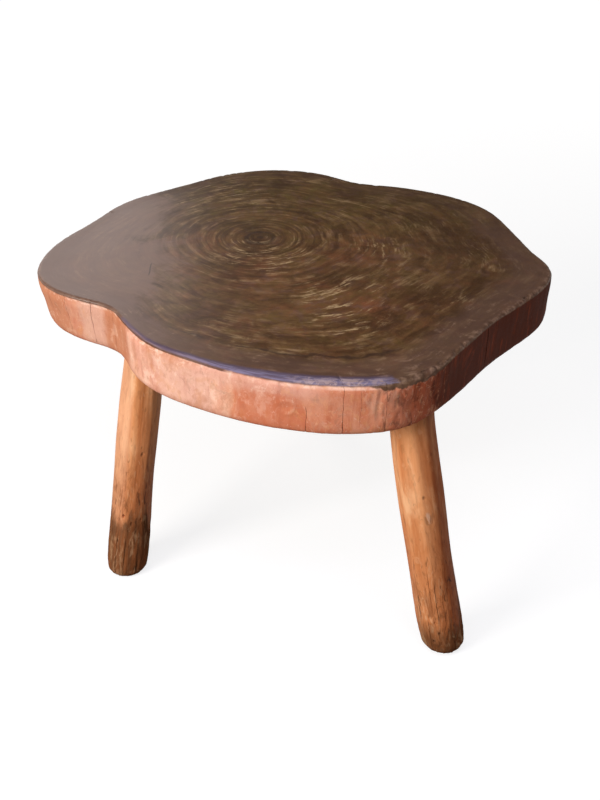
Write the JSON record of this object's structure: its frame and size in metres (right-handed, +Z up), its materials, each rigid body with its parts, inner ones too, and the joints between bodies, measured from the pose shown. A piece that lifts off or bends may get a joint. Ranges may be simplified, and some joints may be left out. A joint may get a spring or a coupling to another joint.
{
  "type": "table",
  "caption": "Low live-edge table: a thick cross-cut trunk slab with a dark stained top, carried on splayed hand-hewn pole legs in blind wedged sockets.",
  "frame": {"origin": "on the floor, under the centre of the slab's bounding box", "axes": "+Z up; +X to the right of the table as pictured, along the slab's longest width; -Y to its front"},
  "size_m": [0.7043, 0.6805, 0.45],
  "materials": {
    "stained_slab": "cross-cut trunk slab, dark brown stain and clear lacquer on the top, red-brown debarked edge",
    "leg_pole": "hand-hewn pole, thin honey-orange varnish, dirt-darkened foot",
    "hidden_wedge": "bare split hardwood"
  },
  "bodies": {
    "root": {"top_slab": "stained_slab", "leg_left": "leg_pole", "leg_right": "leg_pole", "leg_rear": "leg_pole", "wedge_left": "hidden_wedge", "wedge_right": "hidden_wedge", "wedge_rear": "hidden_wedge"}
  },
  "joints": []
}
